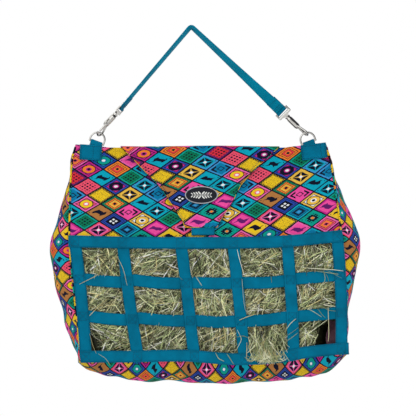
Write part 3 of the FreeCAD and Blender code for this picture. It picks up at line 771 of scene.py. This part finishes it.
def strands(name, count, seed, width, lengths, depth, tints, rounded=False):
    """Thin curved stalks and blades of hay packed behind the net."""
    r = np.random.default_rng(seed)
    (x0, x1), (z0, z1) = HAY_BOX
    seg = 4
    start = np.stack([r.uniform(x0, x1, count), r.uniform(z0, z1, count)], -1)
    sx, sz = start[:, 0], start[:, 1]
    lie = 0.7 + 1.3 * np.sin(sx * 21 + 1 + 3 * np.sin(sz * 19)) * np.cos(sz * 27 + sx * 9)
    angle = r.normal(lie, 0.42) + math.pi * (r.random(count) < 0.5)
    across_dir = r.random(count) < 0.25
    angle = np.where(across_dir, r.uniform(0, 2 * math.pi, count), angle)
    length = r.uniform(*lengths, count) * MM
    curl = r.normal(0, 0.26, count)
    t = np.linspace(-0.5, 0.5, seg + 1)
    head = angle[:, None] + curl[:, None] * t[None, :]
    px = start[:, 0:1] + length[:, None] * t[None, :] * np.cos(head)
    pz = start[:, 1:2] + length[:, None] * t[None, :] * np.sin(head)
    pz = np.clip(pz, -0.694, -0.450)
    px = np.clip(px, side_x(LEFT, pz) + 0.008, side_x(RIGHT, pz) - 0.008)
    level = r.random(count) ** 1.5 * depth
    mask = opening(px, pz)
    puff = 0.006 + 0.004 * np.sin(px * 61 + 2) * np.sin(pz * 53)
    y = -0.0815 + level[:, None] - (puff + 0.0035) * mask + belly(px, pz) * 0.9
    y = y + r.normal(0, 0.0004, px.shape) + 0.008 * (t[None, :] * r.normal(0, 1, (count, 1)))
    hollow = ((px > 0.266 + 0.25 * (pz + 0.66)) & (pz < -0.615)).any(axis=1)
    hollow |= ((px < -0.196) & (pz < -0.640) & (px < -0.20 - 0.2 * (pz + 0.69))).any(axis=1)
    hollow &= r.random(count) < 0.997
    # What would fill the half-empty corners lies hidden in the middle instead.
    px = np.where(hollow[:, None], 0.05 + 0.02 * t[None, :], px)
    mask = np.where(hollow[:, None], 0, mask)
    y = np.where(hollow[:, None], -0.060, y)
    r.random(2 * count)  # keeps the draws below in step
    y = np.maximum(y, -0.0835 + belly(px, pz) - 0.012 * mask)
    pts = np.stack([px, y, pz], -1)
    d = unit(np.gradient(pts, axis=1))
    twist = r.uniform(0, math.pi, (count, 1, 1))
    face = AHEAD * np.cos(twist) + np.cross(d, AHEAD) * np.sin(twist)
    side = unit(np.cross(d, face))
    up = np.cross(side, d)
    w = r.uniform(*width, count)[:, None, None] * MM / 2
    taper = np.array([0.35, 0.9, 1.0, 0.8, 0.25])[None, :, None]
    if rounded:
        size = w * (0.55 + 0.45 * taper)
        ring = [(side * math.cos(v) + up * math.sin(v)) * size for v in THIRDS]
    else:
        ring = [side * w * taper, up * w * 0.35, -side * w * taper]
    # Painted light on each stalk: about a third are painted dark as stalks in shadow, the rest from a
    # little darker up to twice as bright, as painted highlight.
    painted_light = np.where(r.random(count) < 0.35, r.uniform(0.05, 0.35, count),
                      r.uniform(0.9, 2.0, count))
    tint = np.array(tints)[r.integers(0, len(tints), count)] * painted_light[:, None]
    # Painted shade: the deeper a stalk lies behind the net, the darker it is painted.
    painted_dark = np.clip(1.12 - level / depth * 0.62, 0.3, 1.1)[:, None]
    stalk_mesh(name, pts, ring, np.clip(tint * painted_dark, 0, 1), closed=False)


THIRDS = np.array([0, 1, 2]) * 2 * math.pi / 3
PALE = [srgb(214, 218, 182), srgb(192, 200, 154), srgb(234, 234, 206), srgb(174, 184, 132),
        srgb(152, 164, 114), srgb(206, 202, 158), srgb(194, 182, 130)]
DULL = [srgb(145, 155, 115), srgb(115, 129, 89), srgb(159, 159, 119), srgb(91, 105, 69),
        srgb(131, 127, 91), srgb(69, 83, 55)]
HAY_BOX = ((-0.244, 0.320), (-0.690, -0.452))
# The deep layer takes the darker DULL colours: partly hay's own duller tone, partly painted shade in
# among the stalks.
strands("hay_deep", 4600, 21, (1.1, 2.4), (30, 95), 0.022, DULL)
strands("hay_blades", 4400, 22, (1.1, 2.3), (26, 85), 0.012, PALE + DULL[:3])
strands("hay_stalks", 2300, 23, (1.2, 2.2), (40, 110), 0.005, PALE, rounded=True)


def loose_straws(name, lines, seed, tints):
    """Separate stalks along given points, lying over the webbing."""
    r = np.random.default_rng(seed)
    paths, widths, colours = [], [], []
    for line in lines:
        line = np.array(line, float) * MM
        ts = np.linspace(0, len(line) - 1, 9)
        path3 = np.stack([np.interp(ts, np.arange(len(line)), line[:, k]) for k in range(3)], -1)
        path3[1:-1] = (path3[:-2] + path3[1:-1] * 2 + path3[2:]) / 4
        paths.append(path3)
        widths.append(r.uniform(0.5, 0.95) * MM)
        tint = np.array(tints[r.integers(0, len(tints))]) * r.uniform(0.8, 1.2)
        colours.append(np.clip(tint, 0, 1))
    paths = np.array(paths)
    d = unit(np.gradient(paths, axis=1))
    side = unit(np.cross(d, AHEAD))
    up = np.cross(side, d)
    taper = 0.45 + 0.55 * np.sin(math.pi * np.arange(1, 10) / 10)
    size = np.array(widths)[:, None, None] * taper[None, :, None]
    ring = [(side * math.cos(v) + up * math.sin(v)) * size for v in THIRDS]
    stalk_mesh(name, paths, ring, np.array(colours), closed=True)


F = -94.5  # y in mm, just in front of the webbing
straws = [
    ((-158, F + 5, -480), (-156, F, -485), (-142, F, -511), (-135, F, -546)),
    ((-236, F, -543), (-202, F, -526), (-196, F + 6, -522)),
    ((-215, F, -610), (-196, F, -590), (-172, F + 5, -570)),
    ((-36, F + 5, -518), (-30, F, -523), (-18, F, -534)),
    ((10, F + 5, -525), (13, F, -531), (23, F, -546)),
    ((-2, F, -500), (0, F, -515), (4, F, -530)),
    ((98, F + 3, -470), (101, F, -484), (108, F, -508), (113, F, -526)),
    ((108, F, -532), (110, F, -560), (113, F, -590), (117, F + 2, -602)),
    ((102, F, -619), (118, F, -612), (137, F, -606)),
    ((169, F, -524), (171, F, -540)),
    ((236, F + 5, -508), (262, F, -510), (300, F, -512), (322, F, -515)),
    ((250, F + 5, -505), (285, F, -512), (318, F, -530)),
    ((262, F + 4, -515), (300, F, -520), (312, F, -522)),
    ((268, F + 4, -508), (288, F, -524), (292, F, -540)),
    ((280, F + 4, -512), (284, F, -530), (282, F, -540)),
    ((230, F + 3, -588), (258, F, -600), (276, F, -612)),
    ((236, F + 4, -592), (262, F, -592), (294, F + 2, -594)),
    ((265, F + 4, -590), (276, F, -606), (284, F, -614)),
    ((290, F, -590), (291, F - 1, -620), (292, F, -652), (290, F, -664)),
    ((270, F + 5, -585), (290, F, -598), (306, F, -600)),
    ((198, F, -655), (212, F, -646), (228, F + 4, -634)),
    ((196, F, -668), (214, F, -655), (226, F + 4, -646)),
    ((200, F, -640), (210, F, -626), (222, F, -616)),
    ((96, F, -655), (110, F, -652), (121, F + 2, -656)),
    ((98, F, -640), (108, F, -660), (94, F, -685)),
    ((76, F, -690), (84, F, -702), (90, F, -712)),
    ((52, F + 4, -688), (58, F, -700), (70, F, -706)),
    ((-214, F + 4, -648), (-208, F, -672), (-200, F, -690)),
    ((-196, F + 4, -690), (-180, F, -700), (-170, F, -716)),
]
# A tuft that spills over the bottom rail under the fourth column.
TUFT_X = 160
tuft = np.random.default_rng(51)
for k in range(150):
    x0 = tuft.normal(TUFT_X, 17)
    z0 = tuft.uniform(-690, -640)
    fall_by = tuft.uniform(18, 52)
    swing_by = tuft.normal(0, 12) - (x0 - TUFT_X) * 0.15
    low = max(z0 - fall_by, -713 + abs(x0 - TUFT_X) * 0.25)
    out_by = F - tuft.uniform(0, 4)
    straws.append(((x0, F + 6, z0), (x0 + swing_by * 0.4, out_by, (z0 + low) / 2),
                   (x0 + swing_by, out_by + 1, low)))
for k in range(70):
    x0, z0 = tuft.normal(TUFT_X, 16), tuft.uniform(-706, -692)
    half = tuft.uniform(6, 16)
    rise = tuft.normal(6, 5)
    out_by = F - tuft.uniform(0, 3)
    straws.append(((x0 - half, out_by + 1, z0 + rise), (x0, out_by - 1, z0 - 3),
                   (x0 + half, out_by + 1, z0 + rise * 0.6)))
loose_straws("hay_loose", straws, 61, PALE + DULL[:2])

# Packed hay behind the strands, lumpy, its dark colour painted shade between stalks.
s = np.linspace(0, 1, 120)
S, Z = np.meshgrid(s, -0.452 - 0.240 * s)
X = side_x(LEFT, Z) + 0.010 + (side_x(RIGHT, Z) - side_x(LEFT, Z) - 0.020) * S
hole = np.clip((X - 0.250) / 0.03, 0, 1) * np.clip((-0.612 - Z) / 0.02, 0, 1)
lump = ripple(X, Z, 31, 0.035, 0.0035) + ripple(X, Z, 32, 0.015, 0.0016)
Y = -0.058 + lump + 0.045 * hole
core = grid_object("hay_core", np.stack([X, Y, Z], -1), np.stack([X, Z], -1), "weave",
                   [STRAW], 0.012)
# Painted shade: the core is painted dark, and darker still where it falls back in the half-empty
# corner.
tint_points(core, np.array(srgb(46, 48, 28)) * (1 - 0.7 * hole.reshape(-1, 1)))
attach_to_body(core, "bag")

# A fold of the lining, seen through the half-empty corner.
LINING_FOLD = plain_cloth("lining_fold", srgb(116, 82, 92), srgb(62, 40, 54))
u, v = np.meshgrid(np.linspace(0, 1, 16), np.linspace(0, 1, 30))
X = 0.289 + 0.026 * u + 0.003 * np.sin(v * 7)
Z = -0.612 - 0.068 * v
Y = -0.066 + 0.006 * np.sin(u * 3.1) - 0.004 * np.sin(v * 9 + u * 2)
inside_fold = grid_object("inner_fold", np.stack([X, Y, Z], -1)[:, ::-1],
                          np.stack([X, Z], -1)[:, ::-1], "weave", [LINING_FOLD], 0.0012)
attach(inside_fold, "bag")

# ---- closure flap
FLAP_LEFT = np.array([(-150, -250), (-104, -298), (-66, -337), (-32, -388), (-17, -411),
                      (-13, -423)])
FLAP_RIGHT = np.array([(188, -250), (131, -305), (106, -333), (87, -371), (62, -410),
                       (55, -423)])


def flap_y(z):
    """Where the flap lies: flat across, and sloping down over the front panel."""
    drop = -0.2915 - np.asarray(z)
    return -0.0050 - 0.531 * (0.5 * (drop + np.sqrt(drop * drop + 0.0001)))


def flap_wave(x):
    return 0.0008 * np.sin(x * 23 + 0.5) - 0.0008


def flap_columns(z):
    """x of each column of the flap, between its left and right edges."""
    left, right = (np.interp(-z / MM, -edge[:, 1], edge[:, 0]) * MM
                   for edge in (FLAP_LEFT, FLAP_RIGHT))
    return left + (right - left) * cols


FLAP_FOLD = -0.2515
MOUTH_STEPS = 11
cols = np.linspace(0, 1, 110)
fp, fuv = [], []
for k in range(MOUTH_STEPS):
    # Over the mouth: from the back edge, up a little, to the front fold.
    t = k / MOUTH_STEPS
    x = flap_columns(-0.250)
    y = 0.0155 - 0.0205 * t
    z = -0.2512 + 0.0022 * math.sin(t * math.pi)
    fp.append(np.stack([x, y + 0 * x, z + flap_wave(x)], -1))
    fuv.append((x, z + 0 * x + (y + 0.005)))
for z in np.linspace(FLAP_FOLD, -0.423, 70):
    x = flap_columns(z)
    zz = z + flap_wave(x) * max(0.0, 1 - (FLAP_FOLD - z) / 0.03)
    edge_lift = 0.0012 * (np.abs(cols - 0.5) * 2) ** 8
    y = flap_y(zz) - edge_lift + 0.0025 * math.exp(-((z - FLAP_FOLD) / 0.004) ** 2)
    y = y - 0.0006 - np.abs(ripple(x, zz, 9, 0.09, 0.0006))
    fp.append(np.stack([x, y, zz], -1))
    fuv.append((x, zz))
fp = np.array(fp)
# The print lies turned on the flap.
turn = math.radians(7.5)
fu = []
for x, z in fuv:
    xm, zm = x / MM + 96, z / MM + 301.5
    along = xm * math.cos(turn) + zm * math.sin(turn)
    down = -zm + math.tan(turn) * xm
    fu.append(np.stack([along / 63.4, 4 + down / 17.7], -1))
flap = grid_object("flap_cloth", fp[:, ::-1], np.array(fu)[:, ::-1], "print", [CLOTH, LINING],
                   1.2 * MM)
attach(flap, "flap", ["closure_flap"])

# Bound edge of the flap.
hanging = fp[MOUTH_STEPS:]
bind_line = np.concatenate([hanging[:, 0], hanging[-1, 8:-8:6], hanging[::-1, -1]])
binding = tube("flap_binding", bind_line + 0.0004 * AHEAD, 0.55 * MM)
attach(binding, "flap")


def tab_strip(name, x0, x1, z0, z1, lift_by, thick, mat, body, replaced):
    """A short flat strip that lies along the flap's slope."""
    z = np.linspace(z0, z1, 14)
    xc = (x0 + x1) / 2
    y = flap_y(z) + lift_by
    centre = np.stack([np.full_like(z, xc), y, z], -1)
    run_dir = heading(centre)
    wide = np.tile((1.0, 0, 0), (len(z), 1))
    out = np.cross(wide, run_dir)
    out = out * np.sign(-out[:, 1:2])
    obj = webbing(name, centre, wide, out, x1 - x0, thick, mat)
    attach(obj, body, [replaced])


tab_strip("pull_tab", 0.001, 0.050, -0.414, -0.4395, 0.0004, 2.0 * MM, WEB,
          "flap", "flap_pull_tab")
tab_strip("flap_hook_strip", -0.004, 0.046, -0.374, -0.414, 0.0009, 0.9 * MM, TAPE,
          "flap", "flap_hook_tape")
loop_gap = float(front_y(0.02, -0.394) - flap_y(-0.394)) - 0.0013
tab_strip("panel_loop_strip", -0.008, 0.050, -0.374, -0.414, loop_gap, 0.8 * MM, TAPE,
          "bag", "panel_loop_tape")
for zz in (-0.4265, -0.4375):
    row = [(x, flap_y(zz) - 0.0008, zz) for x in (0.004, 0.047)]
    stitch_line(row, (0, -0.88, 0.47))
for column, inset in ((3, 0.0015), (-4, -0.0015)):
    stitch_line(hanging[3:, column] + (inset, -0.0004, 0), (0, -0.9, 0.4))
flush_stitches("flap_stitching", "flap")

# ---- tabs and loops
def corner_patch(side, x0, x1, z_top, turn_by, seam_at):
    """A webbing patch sewn on the front at a top corner, turned by some degrees."""
    high = np.linspace(0, -0.0325, 12)
    xc, w = (x0 + x1) / 2, x1 - x0
    ct, st = math.cos(math.radians(turn_by)), math.sin(math.radians(turn_by))
    px, pz = xc - high * st, z_top + high * ct
    centre = np.stack([px, -0.0036 - FRONT_SWELL * swell(pz), pz], -1)
    wide = np.tile((ct, 0, st), (len(high), 1))
    out = np.tile(AHEAD, (len(high), 1))
    patch = webbing("patch_" + side, centre, wide, out, w, 1.8 * MM)
    attach(patch, "bag", ["tab_patch_" + side])

    def stitch(*places):
        x = np.array([xc + a * ct - b * st for a, b in places])
        z = np.array([z_top + a * st + b * ct for a, b in places])
        stitch_line(np.stack([x, -0.0047 - FRONT_SWELL * swell(z), z], -1))

    e, top, low = w / 2 - 0.003, -0.003, -0.0295
    stitch((-e, top), (e, top), (e, low), (-e, low), (-e, top))
    stitch((e * seam_at, top), (e * seam_at, low))


def ring_loop(side, lean, bar):
    """The webbing loop round the straight bar of a ring, leaning by some degrees."""
    c, s = math.cos(math.radians(lean)), math.sin(math.radians(lean))
    up, right = np.array((s, 0, c)), np.array((c, 0, -s))
    r = 0.0034
    prof = [(-r, z) for z in np.linspace(-0.022, -0.001, 8)]
    prof += [(-r * math.cos(a), r * math.sin(a)) for a in np.linspace(0, math.pi, 13)]
    prof += [(r, z) for z in np.linspace(-0.001, -0.020, 8)]
    prof = np.array(prof)
    centre = bar + prof[:, 0:1] * BACK + prof[:, 1:2] * up
    wide = np.tile(right, (len(prof), 1))
    out = np.cross(wide, heading(centre))
    if out[0, 1] > 0:
        out = -out
    loop = webbing("loop_" + side, centre, wide, out, 25.0 * MM, 1.5 * MM)
    attach(loop, "bag", ["tab_loop_" + side])
    for down in (-0.0062, -0.0078):
        stitch_line([bar + right * w + up * down + 0.0043 * AHEAD for w in (-0.011, 0.011)])


corner_patch("left", -0.236, -0.189, -0.2475, -3.2, 0.24)
corner_patch("right", 0.2325, 0.2865, -0.2455, 7.0, 0.62)
ring_loop("left", 20, np.array((-0.20152, 0, -0.24267)))
ring_loop("right", -20, np.array((0.25052, 0, -0.24267)))
flush_stitches("tab_stitching", "bag")

# ---- hanging strap
# The middles of the snap eyes' bars, and the top of the strap.
E_LEFT, E_RIGHT = np.array((-0.14908, 0, -0.1706)), np.array((0.1926, 0, -0.17596))
APEX = np.array((0, 0, 0.0050))


def fall(start, end, n):
    return start[None] + (end - start)[None] * np.linspace(0, 1, n)[:, None]


dl = (APEX - E_LEFT) / np.linalg.norm(APEX - E_LEFT)
dr = (E_RIGHT - APEX) / np.linalg.norm(E_RIGHT - APEX)
left_line = fall(E_LEFT + dl * 0.0032, APEX - dl * 0.007, 40)
right_line = fall(APEX + dr * 0.007, E_RIGHT - dr * 0.0032, 48)
a = np.linspace(0, 1, 9)[1:-1, None]
bend = (1 - a) ** 2 * left_line[-1] + 2 * a * (1 - a) * APEX + a ** 2 * right_line[0]
centre = np.concatenate([left_line, bend, right_line])
run_dir = heading(centre)
# The strap's roll in degrees: nearly edge-on down the left, opening out down the right.
share = np.linspace(0, 1, len(right_line))
rolls = np.concatenate([np.linspace(104, 108, len(left_line)), np.full(len(bend), 110.0),
                        np.interp(share, (0, 0.2, 0.45, 0.7, 0.88, 1),
                                  (110, 115, 123, 134, 148, 168))])
rolls = np.radians(soften(rolls))[:, None]
flat = unit(np.cross(run_dir, BACK))
wide = flat * np.cos(rolls) + BACK * np.sin(rolls)
out = np.cross(run_dir, wide)
strap = webbing("strap_webbing", centre, wide, out, 24.6 * MM, 2.1 * MM,
                mat=webbing_cloth("strap_web", srgb(0, 146, 178), srgb(0, 96, 122)))
attach(strap, "strap", ["hanging_strap"])
for name, end, w_dir, along in (("left", E_LEFT, wide[0], dl),
                                ("right", E_RIGHT, wide[-1], -dr)):
    across_dir = np.cross(along, w_dir)
    ang = np.linspace(math.radians(-65), math.radians(245), 26)
    ring = end + 0.0028 * (np.cos(ang)[:, None] * -across_dir + np.sin(ang)[:, None] * -along)
    tail_a = fall(ring[0] + along * 0.030 + across_dir * -0.0004, ring[0], 8)[:-1]
    line = np.concatenate([tail_a, ring])
    rd = heading(line)
    wd = np.tile(w_dir, (len(line), 1))
    loop = webbing("strap_loop_" + name, line, wd, np.cross(rd, wd), 24.4 * MM, 1.5 * MM)
    attach(loop, "strap")
    for off in (0.009, 0.013, 0.026):
        for sign in (-1, 1):
            o = across_dir * sign
            stitch_line([end + along * off + w_dir * w + o * 0.0036 for w in (-0.010, 0.010)], o)
flush_stitches("strap_stitching", "strap")

# ---- metal and badge
for node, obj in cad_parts.items():
    mat = {"badge_plate": BADGE, "badge_rim": RIM}.get(node)
    if node.startswith(("snap_", "ring_")):
        mat = NICKEL
    if mat is None:
        continue
    obj.data.materials.clear()
    obj.data.materials.append(mat)
    for poly in obj.data.polygons:
        poly.use_smooth = True
    mod = obj.modifiers.new("angle", "EDGE_SPLIT")
    mod.split_angle = math.radians(38)

# Raised badge decoration: a plain sprig of leaves, in the plane of the badge.
BADGE_SLOPE = 0.525
lo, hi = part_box("badge_plate")
tilt = math.atan(BADGE_SLOPE)
b_right = np.array((1.0, 0, 0))
b_up = np.array((0, math.sin(tilt), math.cos(tilt)))
b_out = np.array((0, -math.cos(tilt), math.sin(tilt)))
b_mid = (np.array(lo) + np.array(hi)) / 2
half_across = (np.array(hi) - np.array(lo)) / 2 * (0, 1, 1)
b_face = b_mid + b_out * abs(np.dot(half_across, b_out))
decor_points, decor_faces = [], []


def petal(x, z, length, width, angle):
    """A small oval raised leaf on the badge face; sizes are in mm."""
    n = 10
    t = np.linspace(0, 2 * math.pi, n, endpoint=False)[:, None]
    along = b_right * math.cos(angle) + b_up * math.sin(angle)
    across = b_up * math.cos(angle) - b_right * math.sin(angle)
    outline = along * np.cos(t) * length / 2 + across * np.sin(t) * width / 2
    decor_faces.extend(tube_faces(3, n, len(decor_points)))
    for level, scale in ((-0.3, 1.0), (0.35, 0.85), (0.6, 0.35)):
        at = b_right * x + b_up * z + b_out * level
        decor_points.extend(b_face + (at + outline * scale) * MM)


petal(0, 0, 46, 1.6, 0)
for side in (-1, 1):
    for k in range(4):
        x, size = side * (4.0 + 5.4 * k), 1.0 - 0.12 * k
        petal(x, 5.2 * size, 10.5 * size, 3.8 * size, side * 0.85)
        petal(x, -5.2 * size, 10.5 * size, 3.8 * size, -side * 0.85)
SPRIG = plain_cloth("badge_sprig", srgb(238, 238, 234), srgb(206, 206, 202))
decor = make_object("badge_sprig", decor_points, decor_faces, mats=[SPRIG])
attach(decor, "flap")

# ---- light and floor
world = bpy.data.worlds.new("studio")
scene.world = world
world.use_nodes = True
world.node_tree.nodes["Background"].inputs[0].default_value = (1, 1, 1, 1)
world.node_tree.nodes["Background"].inputs[1].default_value = 1.0
for name, at, size, power in (("key", (-1.6, -3.2, 1.4), 2.2, 20),
                              ("fill", (2.2, -3.0, 0.2), 2.4, 5),
                              ("rim", (0.4, 2.6, 1.8), 2.0, 6)):
    light = bpy.data.objects.new(name, bpy.data.lights.new(name, "AREA"))
    scene.collection.objects.link(light)
    light.location = at
    light.data.size = size
    light.data.energy = power
    aim = Vector((0.03, 0, -0.42)) - Vector(at)
    light.rotation_euler = aim.to_track_quat("-Z", "Y").to_euler()

FLOOR = plain_cloth("floor", (0.82, 0.82, 0.82), (0.78, 0.78, 0.78), 40.0)
corners = [(x, y, -1.25) for x, y in ((-6, -6), (6, -6), (6, 6), (-6, 6))]
floor = make_object("floor", corners, [(0, 1, 2, 3)], mats=[FLOOR])
